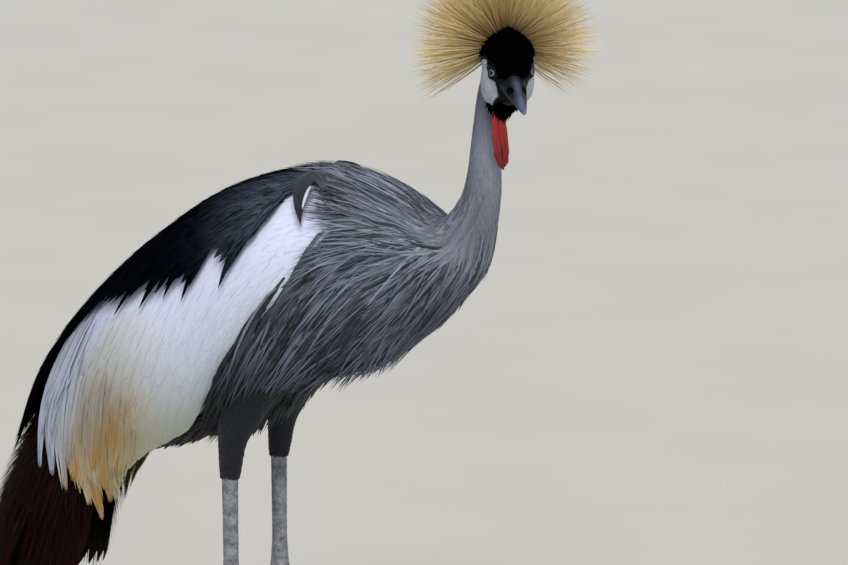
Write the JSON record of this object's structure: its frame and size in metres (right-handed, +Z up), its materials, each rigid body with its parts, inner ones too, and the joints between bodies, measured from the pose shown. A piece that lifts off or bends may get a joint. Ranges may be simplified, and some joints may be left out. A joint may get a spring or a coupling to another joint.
{
  "type": "grey crowned crane, standing model",
  "caption": "Life-size still model of a standing grey crowned crane with folded wings, bristle crest and turned head.",
  "frame": {"origin": "on the ground, under the middle of the bird's outline seen from above, a little ahead of midway between the feet", "axes": "+X towards the breast, +Y to the bird's left, +Z up"},
  "size_m": [0.7131, 0.2018, 0.9081],
  "materials": {
    "plumage_slate": "barbed vane, matt with a faint silky sheen",
    "plumage_black": "barbed vane, matt with a faint silky sheen",
    "plumage_white": "barbed vane, matt with a faint silky sheen",
    "plumage_chestnut": "barbed vane, matt with a faint silky sheen",
    "plumage_tail": "barbed vane, matt with a faint silky sheen",
    "crest_gold": "stiff dry bristle feathers",
    "head_skin": "velvet feathers with bare cheek skin",
    "wattle_red": "moist bare skin, finely folded",
    "bill_horn": "smooth keratin, satin",
    "eye_wet": "wet and clear",
    "leg_scale": "dry scutes and small scales",
    "claw_horn": "worn keratin"
  },
  "bodies": {
    "root": {"neck": "plumage_slate", "torso": "plumage_slate", "wing_right": "plumage_white", "wing_left": "plumage_white", "flight_right": "plumage_chestnut", "flight_left": "plumage_chestnut", "tail": "plumage_tail", "wattle": "wattle_red", "head": "head_skin", "bill_upper": "bill_horn", "bill_lower": "bill_horn", "eye_right": "eye_wet", "eye_left": "eye_wet", "crest": "crest_gold", "thigh_right": "plumage_black", "shank_right": "leg_scale", "tarsus_right": "leg_scale", "foot_right": "leg_scale", "claw_right_1": "claw_horn", "claw_right_2": "claw_horn", "claw_right_3": "claw_horn", "claw_right_4": "claw_horn", "thigh_left": "plumage_black", "shank_left": "leg_scale", "tarsus_left": "leg_scale", "foot_left": "leg_scale", "claw_left_1": "claw_horn", "claw_left_2": "claw_horn", "claw_left_3": "claw_horn", "claw_left_4": "claw_horn"}
  },
  "joints": []
}
